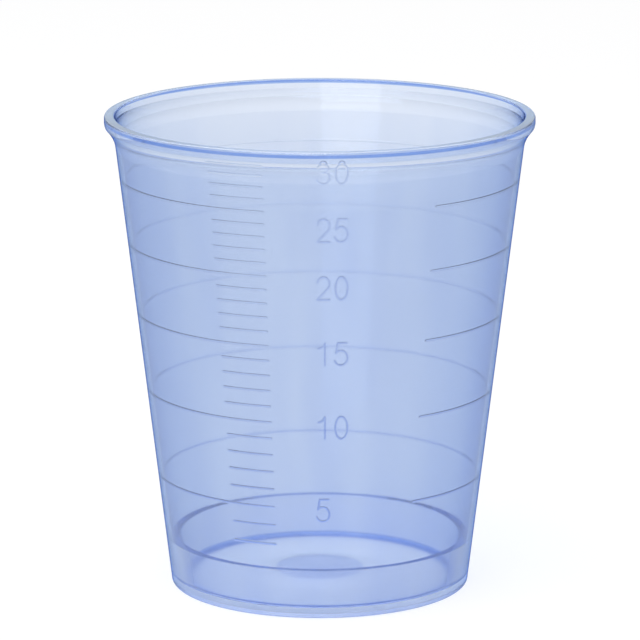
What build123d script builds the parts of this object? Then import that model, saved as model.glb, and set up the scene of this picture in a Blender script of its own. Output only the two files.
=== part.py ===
from build123d import *
from math import cos, floor, pi, radians, sin, tan
import os

# A 30 ml medicine cup, moulded in one piece from thin polypropylene.
# Millimetres and degrees. +Z is up, the origin is the centre of the foot's underside,
# and the numbered side of the scale faces -Y.

# Overall form
height = 42.0  # table to brim
foot_radius = 13.15  # outside of the wall where it meets the table
wall_lean = 6.825  # the wall opens upwards by this angle
wall = 0.45

# Floor and foot
foot_hollow = 0.3  # how far the floor's underside stands off the table
floor_thickness = 0.42
foot_width = 0.9  # the ring that the cup stands on
foot_bevel = 0.2
floor_bevel = 0.3
pad_radius = 6.0  # the middle of the floor is pushed up, clear of the moulding gate
pad_top_radius = 2.4
pad_rise = 0.6

# Lip: the wall flares and ends in a solid rim
lip_depth = 2.9  # brim to where the flare starts
lip_spread = 0.19  # how far the flare leaves the cone, outside and inside
lip_step = 0.2  # the flare starts this much higher inside than outside
rim_depth = 1.55  # brim to the rim's lower edge
rim_brow = 0.55  # brim to the rim's widest point
rim_reach = 0.653  # how far the rim stands out from the plain cone at the brim
rim_bevel = 0.18
rim_shoulder = 1.15  # brim to the corner between the two slopes under the rim
rim_shoulder_in = 0.18  # from the rim's side in to that corner

# Scale, raised on the inside. Angles turn about the cup from its front, right hand positive
ring_every = 5  # ml. A long ring stands at each of these, and a short tick at each other millilitre
ring_right_end = 35.0
scale_middle = -16.3  # rings end here and ticks start here
tick_left_end = -32.3
mark_width = 0.28
mark_relief = 0.05
mark_clearance = 0.7  # least height between a mark's middle and the ledge or the brim

# Ledge inside the wall. The foot of a cup stacked in this one stands on it
ledge_width = 0.75
nest_clearance = 0.02  # between the marks and the wall of that cup

slope = tan(radians(wall_lean))
wall_across = wall / cos(radians(wall_lean))
floor_height = foot_hollow + floor_thickness
ledge_height = (wall_across + mark_relief + nest_clearance) / slope
up_the_wall = (sin(radians(wall_lean)), cos(radians(wall_lean)))


def outer_radius(z):
    """Outside of the plain cone at height z."""
    return foot_radius + slope * z


def inner_radius(z):
    """Inside of the plain cone at height z."""
    return outer_radius(z) - wall_across


def thick_radius(z):
    """Inside of the thicker wall below the ledge."""
    return inner_radius(z) - ledge_width


def cone_volume(low_radius, high_radius, tall):
    """Volume of a slice of a cone."""
    return pi / 3 * tall * (low_radius**2 + low_radius * high_radius + high_radius**2)


def volume_below_ledge():
    """What the cup holds up to its ledge, in cubic millimetres."""
    low = thick_radius(floor_height)
    high = thick_radius(ledge_height)
    pad = cone_volume(pad_radius, pad_top_radius, pad_rise)
    return cone_volume(low, high, ledge_height - floor_height) - pad


def filled_to(z):
    """Millilitres in the cup when the surface stands at height z, above the ledge."""
    above_ledge = cone_volume(inner_radius(ledge_height), inner_radius(z), z - ledge_height)
    return (volume_below_ledge() + above_ledge) / 1000


def fill_height(millilitres):
    """Height above the table of the surface of this much liquid, above the ledge."""
    above_ledge = millilitres * 1000 - volume_below_ledge()
    start = inner_radius(ledge_height)
    surface = (start**3 + 3 * slope * above_ledge / pi) ** (1 / 3)
    return ledge_height + (surface - start) / slope


def cup_profile():
    """Half section of the cup, drawn with x as the radius and y as the height."""
    rim_radius = outer_radius(height) + rim_reach
    rim_low = height - rim_depth
    lip_start = (outer_radius(height - lip_depth), height - lip_depth)
    neck = (outer_radius(rim_low) + lip_spread, rim_low)
    brow = (rim_radius, height - rim_brow)
    mouth_radius = inner_radius(height - rim_bevel) + lip_spread
    mouth = (mouth_radius, height - rim_bevel)
    flare_height = height - lip_depth + lip_step
    flare_start = (inner_radius(flare_height), flare_height)
    shoulder = (rim_radius - rim_shoulder_in, height - rim_shoulder)
    foot_inner = foot_radius - foot_width
    pad_under = foot_hollow + pad_rise
    pad_top = floor_height + pad_rise

    with BuildLine() as edge:
        # Underside, from the axis to the foot, and up the outside
        Polyline(
            (0, pad_top),
            (0, pad_under),
            (pad_top_radius, pad_under),
            (pad_radius, foot_hollow),
            (foot_inner, foot_hollow),
            (foot_inner, 0),
            (foot_radius - foot_bevel, 0),
            (outer_radius(foot_bevel), foot_bevel),
            lip_start,
        )
        # Lip and rim
        TangentArc(lip_start, neck, tangent=up_the_wall)
        Polyline(
            neck,
            shoulder,
            brow,
            (rim_radius, height - rim_bevel),
            (rim_radius - rim_bevel, height),
            (mouth_radius + rim_bevel, height),
            mouth,
        )
        TangentArc(flare_start, mouth, tangent=up_the_wall)
        # Down the inside to the ledge, the floor and its raised middle
        Polyline(
            flare_start,
            (inner_radius(ledge_height), ledge_height),
            (thick_radius(ledge_height), ledge_height),
            (thick_radius(floor_height + floor_bevel), floor_height + floor_bevel),
            (thick_radius(floor_height) - floor_bevel, floor_height),
            (pad_radius, floor_height),
            (pad_top_radius, pad_top),
            (0, pad_top),
        )
    return make_face(edge.line)


def mark(skin, millilitres, start, end):
    """A raised line at this volume, from one angle round to the other, seen anticlockwise from above."""
    middle = fill_height(millilitres)
    root = inner_radius(middle) + wall / 2
    band = Pos(0, middle) * Rectangle(root, mark_width, align=(Align.MIN, Align.CENTER))
    line = revolve(Plane.XZ * (skin & band), Axis.Z, (end - start) % 360)
    return Rot(Z=start - 90) * line


def scale_marks(profile):
    """The rings and ticks, which follow the inside of the wall and of the flare."""
    skin = Pos(X=-mark_relief) * profile
    below_lowest = floor(filled_to(ledge_height + mark_clearance))
    highest = floor(filled_to(height - mark_clearance))
    marks = []
    for volume in range(below_lowest + 1, highest + 1):
        start = tick_left_end if volume % ring_every else ring_right_end
        marks.append(mark(skin, volume, start, scale_middle))
    return marks


def make_cup():
    profile = cup_profile()
    body = revolve(Plane.XZ * profile, Axis.Z)
    return body.fuse(*scale_marks(profile))


os.makedirs("parts", exist_ok=True)
cup = make_cup()
export_step(cup, "parts/cup.step")
print("the ledge is at", round(ledge_height, 2))
for volume in range(ring_every, floor(filled_to(height)), ring_every):
    print(volume, "ml at", round(fill_height(volume), 2))
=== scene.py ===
import bpy
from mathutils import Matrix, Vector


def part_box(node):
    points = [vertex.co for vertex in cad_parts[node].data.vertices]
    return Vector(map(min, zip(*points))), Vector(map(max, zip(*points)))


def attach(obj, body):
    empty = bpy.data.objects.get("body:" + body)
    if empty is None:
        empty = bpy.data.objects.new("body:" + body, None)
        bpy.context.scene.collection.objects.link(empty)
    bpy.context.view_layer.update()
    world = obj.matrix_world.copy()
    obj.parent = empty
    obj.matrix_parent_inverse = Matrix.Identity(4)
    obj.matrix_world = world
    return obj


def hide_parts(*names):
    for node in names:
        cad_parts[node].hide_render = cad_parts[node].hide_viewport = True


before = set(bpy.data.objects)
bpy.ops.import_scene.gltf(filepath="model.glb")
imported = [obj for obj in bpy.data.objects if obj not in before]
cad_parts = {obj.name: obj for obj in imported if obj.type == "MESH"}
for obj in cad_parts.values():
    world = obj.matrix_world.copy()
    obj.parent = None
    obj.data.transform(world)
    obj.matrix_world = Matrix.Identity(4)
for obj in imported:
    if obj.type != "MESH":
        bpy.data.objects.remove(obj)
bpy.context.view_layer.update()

import bpy
import math
import numpy as np

mm = 0.001

# Form of the cup in millimetres, as in the solid, with the small rounds that the moulding has
cup_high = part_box("cup")[1]
height = cup_high.z / mm
rim_radius = min(cup_high.x, cup_high.y) / mm
foot_radius = 13.15
wall_lean = math.radians(6.825)
wall = 0.45
foot_hollow = 0.3
floor_thickness = 0.42
foot_width = 0.9
foot_round = 0.25
floor_round = 0.4
pad_radius = 6.0
pad_top_radius = 2.4
pad_rise = 0.6
pad_soft = 0.8  # the pad's slope starts this much further out and ends this much further in
ledge_width = 0.75
ledge_round = 0.15
nest_clearance = 0.02
lip_depth = 2.9
lip_spread = 0.19
lip_step = 0.2
rim_depth = 1.55
rim_brow = 0.55
rim_outer_round = 0.25
rim_inner_round = 0.2
neck_round = 0.8
crease_round = 0.03  # edges that have no round of their own

# The scale
ring_every = 5
ring_right_end = math.radians(35.0)
scale_middle = math.radians(-16.3)
tick_left_end = math.radians(-32.3)
mark_width = 0.28
mark_relief = 0.05
mark_clearance = 0.7
mark_flat = 0.15  # share of a mark's width that is its level top
digit_height = 2.0
digit_width = 1.28
digit_pitch = 1.52
digit_stroke = 0.25
digit_relief = 0.05
digit_left = -0.33  # left edge of the numbers, to the right of the cup's front line
digit_drops = {5: 0.18, 10: 0.36, 15: 0.58, 20: 0.92, 25: 1.5, 30: 1.68}  # below the level they name

# Tone along the profile: 0 is clear, 1 the deepest blue. Only the wall's tone is the plastic's own blue; the
# rest is mostly painted light and painted shade
# painted light: the lip's flare, outside and inside, is made clearer than the wall
lip_painted_light = 0.0
# the wall's tone is the plastic's own blue
wall_tone = 0.51
# painted light on the bulge under the rim
rim_painted_light = 0.15
# painted shade on the top land, a little deeper than the wall
land_painted_shade = 0.57
# painted shade: the dark blue line of the rim's side
rim_side_painted_shade = 1.0
# painted shade: the dark line on the round at the mouth
mouth_painted_shade = 0.75
# painted shade on the ledge and in the corner round the floor
ledge_painted_shade = 1.0
corner_painted_shade = 1.0
# painted shade on the heel and the foot ring
foot_painted_shade = 0.58
foot_ring_painted_shade = 0.7
# the thick wall round the floor: deeper blue of thicker plastic, and partly painted shade
thick_blue_and_shade = 0.62
# painted light: the floor is made clearer than the wall
floor_painted_light = 0.15
# painted shade on the pad's top
pad_painted_shade = 0.7
line_painted_shade_low = 0.95  # painted shade on the rings and ticks, at the table
line_painted_shade_high = 0.45  # and at the brim
# painted shade on the numbers, at the table and at the brim
number_painted_shade_low = 1.0
number_painted_shade_high = 0.62
tone_gain = 1.5  # a mark takes its painted tone in full from 1 / tone_gain of its height

# The plastic
tone_colours = ((0.0, (1.0, 1.0, 1.0)), (0.5, (0.896, 0.916, 0.947)), (1.0, (0.16, 0.31, 0.78)))
plastic_ior = 1.4
lamp_tint = (0.75, 0.82, 0.94)  # what each surface lets through of the lamps' light
streak_depth = 0.08  # how far the streaks change the tone, up and down
streak_scale = (220.0, 220.0, 30.0)  # per metre across the cup, both ways, and up it
# Name, clearness, roughness and the tint of the skin. A face between two finishes has the first of them here
finishes = (
    ("blue_polypropylene", 0.93, 0.06, (0.872, 0.907, 0.966)),
    ("hazy_polypropylene", 0.55, 0.25, (1.0, 1.0, 1.0)),
    ("satin_polypropylene", 0.75, 0.15, (0.93, 0.95, 0.98)),
    ("brim_polypropylene", 0.55, 0.25, (0.955, 0.978, 1.0)),
)
clear, hazy, satin, brim = range(len(finishes))

# Studio. Places are in metres, angles in degrees, power in watts, and the lens and sensor in millimetres
world_strength = 0.55
overhead_grey = (0.30, 0.33, 0.40)
overhead_from = 0.8  # upwards part of the direction, over which the world is overhead_grey
floor_half = 3.0
floor_drop = 0.00002  # how far the floor is below the foot
floor_colour = (0.86, 0.86, 0.87)
floor_glow = 1.15
floor_glow_share = 0.6  # the rest of the floor's look is lit by the lamps and keeps the shadow
softbox_size = 0.6
# Name, place, tilt, turn and power
softboxes = (
    ("front_softbox", (-0.3, -0.9, 0.2), 80, -18, 2.0),
    ("top_softbox", (-0.2, -0.3, 0.85), 23, -34, 5.0),
)
camera_place = (0.0, -0.3894, 0.11098)
camera_pitch = 12.6566
camera_lens = 254.635
camera_sensor = 36.0
camera_shift = 0.0004

# Mesh
columns = 200
digit_grid = 0.042
row_gap = 0.004  # rows inside the wall that are closer than this are one
column_gap = 0.0008  # columns that are closer than this, in radians, are one
column_margin = 0.01  # no even column stands this close to the numbers' own columns, in radians
slant_step = 0.004  # length over which the slope of a mark is taken
fan_radius = 0.2  # the fans of triangles round the axis
number_reach = 3.0  # half the width in which the numbers are looked for
number_margin = 0.02
base_drop = 0.1  # the finishes of the base start this far below the ledge
level_normal = 0.7  # height part of a normal, over which the surface counts as level
inward_normal = -0.5  # radius part of a normal, under which the surface faces the axis
smooth_normals = 0.99  # product of two normals, over which the surface runs on without an edge
tolerance = 0.001  # of a height that is compared
sectors = ("ring", "tick", "number")  # stretches of the wall's girth, by the marks whose rows they have

slope = math.tan(wall_lean)
wall_across = wall / math.cos(wall_lean)
floor_height = foot_hollow + floor_thickness
ledge_height = (wall_across + mark_relief + nest_clearance) / slope
up_the_wall = np.array((math.sin(wall_lean), math.cos(wall_lean)))


def outer_radius(z):
    return foot_radius + slope * z


def inner_radius(z):
    return outer_radius(z) - wall_across


def thick_radius(z):
    return inner_radius(z) - ledge_width


def cone_volume(low_radius, high_radius, tall):
    return math.pi / 3 * tall * (low_radius**2 + low_radius * high_radius + high_radius**2)


def volume_below_ledge():
    pad = cone_volume(pad_radius, pad_top_radius, pad_rise)
    below = cone_volume(thick_radius(floor_height), thick_radius(ledge_height), ledge_height - floor_height)
    return below - pad


def filled_to(z):
    """Millilitres in the cup when the surface stands at height z, above the ledge."""
    above = cone_volume(inner_radius(ledge_height), inner_radius(z), z - ledge_height)
    return (volume_below_ledge() + above) / 1000


def fill_height(millilitres):
    """Height of the surface of this much liquid, above the ledge."""
    start = inner_radius(ledge_height)
    surface = (start**3 + 3 * slope * (millilitres * 1000 - volume_below_ledge()) / math.pi) ** (1 / 3)
    return ledge_height + (surface - start) / slope


# Profile: rows of radius, height, normal's radius part, normal's height part and tone, which holds painted
# light and shade.
# It runs from the axis under the floor, up the outside, over the brim and down the inside to the axis.
def straight(start, end, rows, tone=wall_tone):
    start, end = np.array(start, float), np.array(end, float)
    along = (end - start) / np.linalg.norm(end - start)
    steps = np.linspace(0, 1, rows)[:, None]
    points = start + steps * (end - start)
    normals = np.tile((along[1], -along[0]), (rows, 1))
    return np.hstack((points, normals, np.full((rows, 1), tone)))


def arc(start, end, heading, rows, tone=wall_tone):
    """The arc that leaves start in the direction of heading and ends at end."""
    start, end, heading = (np.array(value, float) for value in (start, end, heading))
    left = np.array((-heading[1], heading[0]))
    chord = end - start
    radius = chord @ chord / (2 * chord @ left)
    centre = start + radius * left
    first = math.atan2(*(start - centre)[::-1])
    turn = 2 * math.atan2(chord @ left, chord @ heading)
    angles = first + np.linspace(0, 1, rows) * turn
    outward = np.stack((np.cos(angles), np.sin(angles)), axis=1)
    points = centre + abs(radius) * outward
    return np.hstack((points, outward * math.copysign(1, radius), np.full((rows, 1), tone)))


def arc_into(start, end, heading, rows, tone=wall_tone):
    """The arc from start that arrives at end in the direction of heading."""
    back = arc(end, start, -np.array(heading, float), rows, tone)[::-1]
    back[:, 2:4] *= -1
    return back


def soft_corner(before, after, reach, rows=8):
    """Two stretches that meet at a corner, with a curve between them that starts and ends at this reach."""
    corner = after[0, :2].copy()
    trimmed = []
    for stretch in (before[::-1], after):
        away = np.linalg.norm(stretch[:, :2] - corner, axis=1)
        first = [np.interp(reach, away, stretch[:, k]) for k in range(stretch.shape[1])]
        trimmed.append(np.vstack((first, stretch[away > reach])))
    before, after = trimmed[0][::-1], trimmed[1]
    t = np.linspace(0, 1, rows)[:, None]
    points = (1 - t) ** 2 * before[-1, :2] + 2 * t * (1 - t) * corner + t**2 * after[0, :2]
    along = (1 - t) * (corner - before[-1, :2]) + t * (after[0, :2] - corner)
    along /= np.linalg.norm(along, axis=1)[:, None]
    bend = np.hstack((points, along[:, 1:], -along[:, :1], (1 - t) * before[-1, 4] + t * after[0, 4]))
    return [before, bend, after]


def join(stretches):
    """One table of rows. Where two stretches meet at an edge, both stop a little short of it."""
    table = [stretches[0]]
    for stretch in stretches[1:]:
        before = table[-1]
        if before[-1, 2:4] @ stretch[0, 2:4] > smooth_normals:
            table.append(stretch[1:])
            continue
        for end, neighbour in ((before[-1], before[-2]), (stretch[0], stretch[1])):
            back = neighbour[:2] - end[:2]
            end[:2] += back / np.linalg.norm(back) * crease_round
        table.append(stretch)
    return np.vstack(table)


def pad_side(level, inwards):
    """The slope round the floor's raised middle, as two arcs, from its top outwards or the other way."""
    top = (pad_top_radius - pad_soft, level + pad_rise)
    middle = ((pad_radius + pad_top_radius) / 2, level + pad_rise / 2)
    foot = (pad_radius + pad_soft, level)
    # painted light on the floor's slopes, painted shade on the pad's top
    if inwards:
        return [arc(foot, middle, (-1, 0), 7, floor_painted_light), arc_into(middle, top, (-1, 0), 7, pad_painted_shade)]
    return [arc(top, middle, (1, 0), 7, floor_painted_light), arc_into(middle, foot, (1, 0), 7, floor_painted_light)]


def cup_profile():
    lip_start = (outer_radius(height - lip_depth), height - lip_depth)
    rim_low = height - rim_depth
    neck = (outer_radius(rim_low) + lip_spread, rim_low)
    brow = (rim_radius, height - rim_brow)
    side = (rim_radius, height - rim_outer_round)
    land_outside = (rim_radius - rim_outer_round, height)
    mouth_radius = inner_radius(height - rim_inner_round) + lip_spread
    land_inside = (mouth_radius + rim_inner_round, height)
    mouth = (mouth_radius, height - rim_inner_round)
    flare_height = height - lip_depth + lip_step
    flare = (inner_radius(flare_height), flare_height)
    heel = (outer_radius(foot_round), foot_round)
    foot_inner = foot_radius - foot_width
    ledge_lip = (thick_radius(ledge_height - ledge_round), ledge_height - ledge_round)
    ledge_edge = (thick_radius(ledge_height) + ledge_round, ledge_height)
    corner = (thick_radius(floor_height + floor_round), floor_height + floor_round)
    floor_edge = (thick_radius(floor_height) - floor_round, floor_height)
    pad_under = foot_hollow + pad_rise
    pad_top = floor_height + pad_rise
    # Painted light on the lip's flare, under the rim and on the floor; painted shade on the foot, rim side,
    # top land, mouth round, ledge, floor corner and pad; the thick wall is partly painted shade
    below = join([
        straight((fan_radius, pad_under), (pad_top_radius - pad_soft, pad_under), 4, floor_painted_light),
        *pad_side(foot_hollow, inwards=False),
        straight((pad_radius + pad_soft, foot_hollow), (foot_inner, foot_hollow), 6, floor_painted_light),
        straight((foot_inner, foot_hollow), (foot_inner, 0), 3, foot_ring_painted_shade),
        straight((foot_inner, 0), (foot_radius - foot_round, 0), 3, foot_ring_painted_shade),
        arc((foot_radius - foot_round, 0), heel, (1, 0), 6, foot_painted_shade),
        straight(heel, lip_start, 10),
        *soft_corner(
            arc(lip_start, neck, up_the_wall, 12, lip_painted_light),
            arc_into(neck, brow, (0, 1), 14, rim_painted_light),
            neck_round,
        ),
        straight(brow, side, 5, rim_side_painted_shade),
        arc(side, land_outside, (0, 1), 7, land_painted_shade),
        straight(land_outside, land_inside, 3, land_painted_shade),
        arc(land_inside, mouth, (-1, 0), 6, mouth_painted_shade),
        arc_into(mouth, flare, -up_the_wall, 12, lip_painted_light),
    ])
    inside = straight(flare, (inner_radius(ledge_height), ledge_height), 14)
    above = join([
        straight((inner_radius(ledge_height), ledge_height), ledge_edge, 4, ledge_painted_shade),
        arc(ledge_edge, ledge_lip, (-1, 0), 5, thick_blue_and_shade),
        straight(ledge_lip, corner, 5, thick_blue_and_shade),
        arc_into(corner, floor_edge, (-1, 0), 7, corner_painted_shade),
        straight(floor_edge, (pad_radius + pad_soft, floor_height), 6, floor_painted_light),
        *pad_side(floor_height, inwards=True),
        straight((pad_top_radius - pad_soft, pad_top), (fan_radius, pad_top), 4, pad_painted_shade),
    ])
    return join([below, inside, above])


# Marks. A stroke of a number is a row of points, along the wall's girth and up the wall.
def curve(centre, radii, first, last, count=24):
    angles = np.radians(np.linspace(first, last, count))
    return np.stack((centre[0] + radii[0] * np.cos(angles), centre[1] + radii[1] * np.sin(angles)), axis=1)


def digit_strokes(digit):
    """Strokes of a plain sans serif digit, in a box from 0 to 1 in height and about 0.6 in width."""
    w = digit_width / digit_height - digit_stroke / digit_height
    if digit == "0":
        return [curve((w / 2, 0.5), (w / 2, 0.5), 0, 360, 48)]
    if digit == "1":
        flag = curve((w * 0.1, 1.06), (w * 0.52, 0.3), -90, -12, 8)
        return [np.array([(w * 0.62, 0.0), (w * 0.62, 1.0)]), flag]
    if digit == "2":
        bow = curve((w / 2, 0.70), (w / 2, 0.30), 168, -38, 26)
        return [bow, np.array([bow[-1], (0.0, 0.0)]), np.array([(0.0, 0.0), (w, 0.0)])]
    if digit == "3":
        upper = curve((w * 0.47, 0.755), (w * 0.42, 0.245), 165, -90, 26)
        lower = curve((w * 0.47, 0.27), (w * 0.53, 0.27), 90, -165, 30)
        return [upper, lower]
    if digit == "5":
        bowl = curve((w * 0.46, 0.33), (w * 0.54, 0.33), 140, -158, 34)
        return [bowl, np.array([bowl[0], (w * 0.2, 1.0)]), np.array([(w * 0.2, 1.0), (w * 0.93, 1.0)])]
    raise ValueError(digit)


def number_marks():
    """The strokes of all numbers in millimetres, to the right of the front line and up from the table."""
    marks = []
    for volume, drop in digit_drops.items():
        middle = fill_height(volume) - drop
        for place, digit in enumerate(str(volume)):
            left = digit_left + digit_stroke / 2 + place * digit_pitch
            corner = (left, middle - digit_height / 2)
            marks.extend(stroke * digit_height + corner for stroke in digit_strokes(digit))
    return marks


def distance_to(strokes, across, up):
    """Distance from each point to the nearest stroke."""
    nearest = np.full(across.shape, np.inf)
    for stroke in strokes:
        for (ax, ay), (bx, by) in zip(stroke[:-1], stroke[1:]):
            dx, dy = bx - ax, by - ay
            share = np.clip(((across - ax) * dx + (up - ay) * dy) / (dx * dx + dy * dy), 0, 1)
            nearest = np.minimum(nearest, np.hypot(across - ax - share * dx, up - ay - share * dy))
    return nearest


def ridge(distance, width):
    """Cross-section of a raised mark, 1 on its level top and 0 outside it."""
    half = width / 2
    side = np.clip((distance - half * mark_flat) / (half * (1 - mark_flat)), 0, 1)
    return 0.5 + 0.5 * np.cos(math.pi * side)


numbers = number_marks()
volumes = range(
    math.floor(filled_to(ledge_height + mark_clearance)) + 1,
    math.floor(filled_to(height - mark_clearance)) + 1,
)


def line_height(angle, z):
    """How far the rings and ticks raise the inside of the wall at each angle and height."""
    radius = inner_radius(z)
    raised = np.zeros(np.broadcast(angle, z).shape)
    for volume in volumes:
        level = fill_height(volume)
        if volume % ring_every:
            left, right = tick_left_end, scale_middle
        else:
            left, right = ring_right_end, scale_middle + 2 * math.pi
        middle = (left + right) / 2
        turned = middle + np.mod(angle - middle + math.pi, 2 * math.pi) - math.pi
        beyond = np.maximum(np.maximum(left - turned, turned - right), 0) * radius
        distance = np.hypot(beyond, (z - level) / math.cos(wall_lean))
        raised = np.maximum(raised, mark_relief * ridge(distance, mark_width))
    return raised


def number_height(angle, z):
    """How far the numbers raise it."""
    across = inner_radius(z) * (np.mod(angle + math.pi, 2 * math.pi) - math.pi)
    raised = np.zeros(across.shape)
    near = np.abs(across - digit_pitch) < number_reach
    if near.any():
        up = np.broadcast_to(z, across.shape)
        raised[near] = digit_relief * ridge(distance_to(numbers, across[near], up[near]), digit_stroke)
    return raised


def mark_height(angle, z):
    return np.maximum(line_height(angle, z), number_height(angle, z))


def mark_rows(volume):
    """Heights of the mesh rows across one ring or tick."""
    half = mark_width / 2 * math.cos(wall_lean)
    shares = (1.08, 0.96, 0.84, 0.7, 0.56, mark_flat)
    level = fill_height(volume)
    return [level + side * share * half for share in shares for side in (-1, 1)] + [level]


def number_rows():
    """Heights of the mesh rows across the numbers."""
    reach = (digit_height + digit_stroke) / 2 + number_margin
    count = int(2 * reach / digit_grid) + 1
    rows = []
    for volume, drop in digit_drops.items():
        middle = fill_height(volume) - drop
        rows.extend(np.linspace(middle - reach, middle + reach, count))
    return rows


def is_inner_wall(rows):
    """Which rows lie inside the wall between the ledge and the brim, where the marks are."""
    z, across = rows[:, 1], rows[:, 2]
    return (across < inward_normal) & (z > ledge_height) & (z < height - rim_inner_round + tolerance)


def wall_rows_at(profile, heights):
    """Rows inside the wall at these heights."""
    inner = profile[is_inner_wall(profile)]
    inner = inner[np.argsort(inner[:, 1])]
    keep = np.sort(np.array(heights))
    keep = keep[(keep > ledge_height + crease_round) & (keep < inner[-1, 1])]
    radius, across, up, tone = (np.interp(keep, inner[:, 1], inner[:, k]) for k in (0, 2, 3, 4))
    return np.stack((radius, keep, across, up, tone), axis=1)


def row_table(profile):
    """All rows of the mesh in their order along the profile, and which of them each sector uses."""
    ring_heights = [z for volume in volumes if volume % ring_every == 0 for z in mark_rows(volume)]
    tick_heights = [z for volume in volumes if volume % ring_every for z in mark_rows(volume)]
    base = [(row, set(sectors)) for row in profile]
    first, *_, last = np.flatnonzero(is_inner_wall(profile))
    wall_rows = base[first:last + 1]
    for uses, heights in ((sectors, ring_heights), (("tick",), tick_heights), (("number",), number_rows())):
        wall_rows += [(row, set(uses)) for row in wall_rows_at(profile, heights)]
    wall_rows.sort(key=lambda item: -item[0][1])
    merged = []
    for row, uses in wall_rows:
        if merged and merged[-1][0][1] - row[1] < row_gap:
            merged[-1][1].update(uses)
        else:
            merged.append((row, uses))
    table = base[:first] + merged + base[last + 1:]
    rows = np.array([row for row, uses in table])
    used = {name: np.array([name in uses for row, uses in table]) for name in sectors}
    return rows, used


def columns_about(place, reach, side):
    """Angles close to one end of a mark, most of them at the given side of it."""
    return [place + side * share * reach for share in (1.0, 0.75, 0.5, 0.25, 0.0, -0.25)]


def wall_columns():
    """Angles of the mesh's columns, and the sector between each and the next."""
    # The lowest number with two digits takes the widest angle
    low_radius = inner_radius(fill_height(10))
    number_left = (digit_left - digit_stroke) / low_radius
    number_right = (digit_left + 2 * digit_pitch + digit_stroke) / low_radius
    number_count = int((number_right - number_left) * low_radius / digit_grid)
    end_reach = mark_width / inner_radius(height / 2)
    tick_left, tick_right = tick_left_end - end_reach, scale_middle + end_reach
    even = np.linspace(-math.pi, math.pi, columns, endpoint=False)
    angles = {a for a in even if not number_left - column_margin < a < number_right + column_margin}
    angles |= set(np.linspace(number_left, number_right, number_count)) | {tick_left, tick_right}
    angles |= set(columns_about(tick_left_end, end_reach, -1))
    for place in (scale_middle, ring_right_end):
        angles |= set(columns_about(place, end_reach, -1)) | set(columns_about(place, end_reach, 1))
    angles = np.array(sorted(angles))
    angles = angles[np.append(True, np.diff(angles) > column_gap)]
    middles = (angles + np.append(angles[1:], angles[0] + 2 * math.pi)) / 2
    sector = np.full(len(angles), "ring", "<U6")
    sector[(middles > tick_left) & (middles < tick_right)] = "tick"
    sector[(middles > number_left) & (middles < number_right)] = "number"
    return angles, sector


def column_at(angle, rows):
    """Points, normals and tones of one column, at this angle from the front line, right hand positive."""
    radius, z, across, up, tone = rows.T
    on_wall = is_inner_wall(rows)
    wall_z = z[on_wall]
    turn = slant_step / radius[on_wall]
    raised, slant_up, slant_round = np.zeros((3, len(rows)))
    raised[on_wall] = mark_height(angle, wall_z)
    slant_up[on_wall] = mark_height(angle, wall_z + slant_step) - mark_height(angle, wall_z - slant_step)
    slant_round[on_wall] = mark_height(angle + turn, wall_z) - mark_height(angle - turn, wall_z)
    slant_up /= 2 * slant_step
    slant_round /= 2 * slant_step
    radius = radius + raised * across
    z = z + raised * up
    outward = np.array((math.sin(angle), -math.cos(angle), 0))
    along = np.array((math.cos(angle), math.sin(angle), 0))
    upward = np.array((0, 0, 1))
    points = np.outer(radius, outward) + np.outer(z, upward)
    # The normal leans back from where the surface rises
    lean_out = across - slant_up * up
    lean_up = up + slant_up * across
    normals = np.outer(lean_out, outward) + np.outer(lean_up, upward) - np.outer(slant_round, along)
    normals /= np.linalg.norm(normals, axis=1)[:, None]
    # Marks blend to a painted tone: painted shade, deepest near the table and less towards the brim, where
    # rings and ticks come out a touch lighter than the wall
    for relief, painted_tone_at_table, painted_tone_at_brim in (
        (line_height(angle, z) / mark_relief, line_painted_shade_low, line_painted_shade_high),
        (number_height(angle, z) / digit_relief, number_painted_shade_low, number_painted_shade_high),
    ):
        painted_mark_tone = painted_tone_at_table + (painted_tone_at_brim - painted_tone_at_table) * z / height
        tone = tone + (painted_mark_tone - tone) * on_wall * np.minimum(tone_gain * relief, 1)
    return points, normals, tone


def cup_vertices(rows, used, angles, sector):
    """Points, normals and tones, and a table of each vertex's number by column and row, -1 where none is.

    A column has the rows that the sector at either side of it uses. The last two vertices are on the axis,
    under the floor and on top of it.
    """
    index = np.full((len(angles), len(rows)), -1)
    parts = []
    total = 0
    for k, angle in enumerate(angles):
        chosen = np.flatnonzero(used[sector[k]] | used[sector[k - 1]])
        index[k, chosen] = total + np.arange(len(chosen))
        total += len(chosen)
        parts.append(column_at(angle, rows[chosen]))
    on_axis = np.array([(0, 0, rows[0, 1]), (0, 0, rows[-1, 1])])
    parts.append((on_axis, np.array([(0, 0, -1), (0, 0, 1)]), np.full(2, wall_tone)))
    points, normals, tones = (np.concatenate(part) for part in zip(*parts))
    return points, normals, tones, index


def finish_at(rows):
    """The finish at each row. Brim and floor are hazy, the thick wall round the floor is satin."""
    z, across, up = rows[:, 1], rows[:, 2], rows[:, 3]
    in_base = z < ledge_height - base_drop
    on_brim = (up > level_normal) & (z > height - rim_depth)
    on_floor = in_base & (np.abs(up) > level_normal)
    in_thick_wall = in_base & (across < inward_normal)
    return np.select([on_brim, on_floor, in_thick_wall], [brim, hazy, satin], clear)


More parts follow.
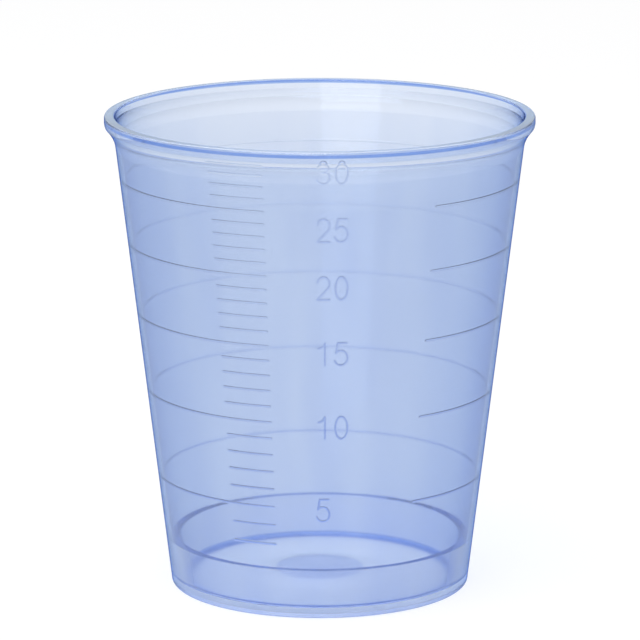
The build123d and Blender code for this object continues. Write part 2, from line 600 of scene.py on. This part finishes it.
def cup_faces(index, under, over, finish):
    """Faces between the columns, round the two vertices on the axis too, and the finish of each face.

    Where one side has rows that the other lacks, triangles lead up to the last of them.
    """
    faces, face_finishes = [], []
    for here, there in zip(index, np.roll(index, -1, axis=0)):
        common = np.flatnonzero((here >= 0) & (there >= 0))
        faces.append((under, there[common[0]], here[common[0]]))
        face_finishes.append(hazy)
        for a, b in zip(common[:-1], common[1:]):
            lefts = [i for i in here[a:b + 1] if i >= 0]
            rights = [i for i in there[a:b + 1] if i >= 0]
            new = [(p, rights[0], q) for p, q in zip(lefts[:-2], lefts[1:-1])]
            new += [(lefts[0], p, q) for p, q in zip(rights[:-2], rights[1:-1])]
            new.append((lefts[-2], rights[-2], rights[-1], lefts[-1]))
            faces += new
            face_finishes += [min(finish[a], finish[b])] * len(new)
        faces.append((over, here[common[-1]], there[common[-1]]))
        face_finishes.append(hazy)
    return faces, face_finishes


def cup_mesh():
    rows, used = row_table(cup_profile())
    points, normals, tones, index = cup_vertices(rows, used, *wall_columns())
    faces, face_finishes = cup_faces(index, len(points) - 2, len(points) - 1, finish_at(rows))
    mesh = bpy.data.meshes.new("cup_body")
    mesh.from_pydata((points * mm).tolist(), [], [tuple(int(i) for i in face) for face in faces])
    mesh.update()
    mesh.polygons.foreach_set("use_smooth", np.ones(len(mesh.polygons), bool))
    for finish in finishes:
        mesh.materials.append(plastic_material(*finish))
    mesh.polygons.foreach_set("material_index", np.array(face_finishes, np.int32))
    mesh.normals_split_custom_set_from_vertices(normals.tolist())
    attribute = mesh.attributes.new("tone", "FLOAT", "POINT")
    attribute.data.foreach_set("value", tones.astype(np.float32))
    return mesh


# Materials
def new_material(name):
    material = bpy.data.materials.new(name)
    material.use_nodes = True
    material.node_tree.nodes.clear()
    return material, material.node_tree.nodes, material.node_tree.links


def plastic_material(name, clearness, roughness, skin_tint):
    """See-through plastic with faint streaks up the wall. Its blue follows the tone, painted light and shade
    too, and deepens edge on.
    """
    material, nodes, links = new_material(name)
    plastic = nodes.new("ShaderNodeBsdfPrincipled")
    plastic.inputs["Transmission Weight"].default_value = clearness
    plastic.inputs["IOR"].default_value = plastic_ior
    plastic.inputs["Roughness"].default_value = roughness
    plastic.inputs["Coat Weight"].default_value = 1.0
    plastic.inputs["Coat IOR"].default_value = 1.0
    plastic.inputs["Coat Tint"].default_value = (*skin_tint, 1.0)
    tone = nodes.new("ShaderNodeAttribute")
    tone.attribute_name = "tone"
    place = nodes.new("ShaderNodeTexCoord")
    stretch = nodes.new("ShaderNodeMapping")
    stretch.inputs["Scale"].default_value = streak_scale
    streaks = nodes.new("ShaderNodeTexNoise")
    streaks.inputs["Scale"].default_value = 1.0
    streaks.inputs["Detail"].default_value = 2.0
    spread = nodes.new("ShaderNodeMapRange")
    spread.inputs["To Min"].default_value = -streak_depth
    spread.inputs["To Max"].default_value = streak_depth
    streaked = nodes.new("ShaderNodeMath")
    streaked.operation = "ADD"
    links.new(place.outputs["Object"], stretch.inputs["Vector"])
    links.new(stretch.outputs["Vector"], streaks.inputs["Vector"])
    links.new(streaks.outputs["Fac"], spread.inputs["Value"])
    links.new(tone.outputs["Fac"], streaked.inputs[0])
    links.new(spread.outputs["Result"], streaked.inputs[1])
    blue = nodes.new("ShaderNodeValToRGB")
    while len(blue.color_ramp.elements) < len(tone_colours):
        blue.color_ramp.elements.new(0.5)
    for element, (position, colour) in zip(blue.color_ramp.elements, tone_colours):
        element.position = position
        element.color = (*colour, 1.0)
    links.new(streaked.outputs["Value"], blue.inputs["Fac"])
    links.new(blue.outputs["Color"], plastic.inputs["Base Color"])
    # Light from the lamps passes, and takes the tint of each surface that it crosses
    path = nodes.new("ShaderNodeLightPath")
    lamp_filter = nodes.new("ShaderNodeBsdfTransparent")
    lamp_filter.inputs["Color"].default_value = (*lamp_tint, 1.0)
    through = nodes.new("ShaderNodeMixShader")
    links.new(path.outputs["Is Shadow Ray"], through.inputs["Fac"])
    links.new(plastic.outputs["BSDF"], through.inputs[1])
    links.new(lamp_filter.outputs["BSDF"], through.inputs[2])
    output = nodes.new("ShaderNodeOutputMaterial")
    links.new(through.outputs["Shader"], output.inputs["Surface"])
    return material


def floor_material():
    """Pale and lit, and plain white where it is seen. Part of the cup's shadow stays."""
    material, nodes, links = new_material("pale_floor")
    matt = nodes.new("ShaderNodeBsdfDiffuse")
    matt.inputs["Color"].default_value = (*floor_colour, 1.0)
    white = nodes.new("ShaderNodeEmission")
    white.inputs["Strength"].default_value = floor_glow
    mix = nodes.new("ShaderNodeMixShader")
    links.new(seen_directly(nodes, links, floor_glow_share), mix.inputs["Fac"])
    links.new(matt.outputs["BSDF"], mix.inputs[1])
    links.new(white.outputs["Emission"], mix.inputs[2])
    output = nodes.new("ShaderNodeOutputMaterial")
    links.new(mix.outputs["Shader"], output.inputs["Surface"])
    return material


def seen_directly(nodes, links, share):
    """The share for camera, glossy and transmission rays, and 0 for the others."""
    path = nodes.new("ShaderNodeLightPath")
    add = nodes.new("ShaderNodeMath")
    add.operation = "ADD"
    links.new(path.outputs["Is Camera Ray"], add.inputs[0])
    links.new(path.outputs["Is Glossy Ray"], add.inputs[1])
    total = nodes.new("ShaderNodeMath")
    total.operation = "ADD"
    total.use_clamp = True
    links.new(add.outputs[0], total.inputs[0])
    links.new(path.outputs["Is Transmission Ray"], total.inputs[1])
    scale = nodes.new("ShaderNodeMath")
    scale.operation = "MULTIPLY"
    scale.inputs[1].default_value = share
    links.new(total.outputs[0], scale.inputs[0])
    return scale.outputs[0]


def set_world():
    """Plain soft light from all round. Seen directly, it is white low down and greyer overhead."""
    world = bpy.data.worlds.new("studio")
    bpy.context.scene.world = world
    world.use_nodes = True
    nodes, links = world.node_tree.nodes, world.node_tree.links
    nodes.clear()
    place = nodes.new("ShaderNodeTexCoord")
    split = nodes.new("ShaderNodeSeparateXYZ")
    links.new(place.outputs["Generated"], split.inputs["Vector"])
    ramp = nodes.new("ShaderNodeValToRGB")
    ramp.color_ramp.elements[0].position = 0.0
    ramp.color_ramp.elements[0].color = (1, 1, 1, 1)
    ramp.color_ramp.elements[1].position = overhead_from
    ramp.color_ramp.elements[1].color = (*overhead_grey, 1)
    links.new(split.outputs["Z"], ramp.inputs["Fac"])
    light = nodes.new("ShaderNodeBackground")
    light.inputs["Color"].default_value = (1, 1, 1, 1)
    light.inputs["Strength"].default_value = world_strength
    seen = nodes.new("ShaderNodeBackground")
    links.new(ramp.outputs["Color"], seen.inputs["Color"])
    mix = nodes.new("ShaderNodeMixShader")
    links.new(seen_directly(nodes, links, 1.0), mix.inputs["Fac"])
    links.new(light.outputs["Background"], mix.inputs[1])
    links.new(seen.outputs["Background"], mix.inputs[2])
    output = nodes.new("ShaderNodeOutputWorld")
    links.new(mix.outputs["Shader"], output.inputs["Surface"])


def add_object(name, data):
    thing = bpy.data.objects.new(name, data)
    bpy.context.scene.collection.objects.link(thing)
    return thing


def make_floor():
    mesh = bpy.data.meshes.new("floor")
    sides = ((-1, -1), (1, -1), (1, 1), (-1, 1))
    corners = [(x * floor_half, y * floor_half, -floor_drop) for x, y in sides]
    mesh.from_pydata(corners, [], [(0, 1, 2, 3)])
    mesh.materials.append(floor_material())
    floor = add_object("floor", mesh)


def make_lamps():
    for name, place, tilt, turn, power in softboxes:
        lamp = bpy.data.lights.new(name, "AREA")
        lamp.shape = "SQUARE"
        lamp.size = softbox_size
        lamp.energy = power
        softbox = add_object(name, lamp)
        softbox.location = place
        softbox.rotation_euler = (math.radians(tilt), 0, math.radians(turn))


def make_camera():
    camera = bpy.data.cameras.new("camera")
    camera.sensor_width = camera_sensor
    camera.lens = camera_lens
    camera.shift_x = camera_shift
    view = add_object("camera", camera)
    view.location = camera_place
    view.rotation_euler = (math.pi / 2 - math.radians(camera_pitch), 0, 0)
    bpy.context.scene.camera = view


bpy.context.scene.view_settings.view_transform = "Standard"
cup_body = add_object("cup_body", cup_mesh())
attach(cup_body, "root")
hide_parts("cup")
make_floor()
set_world()
make_lamps()
make_camera()
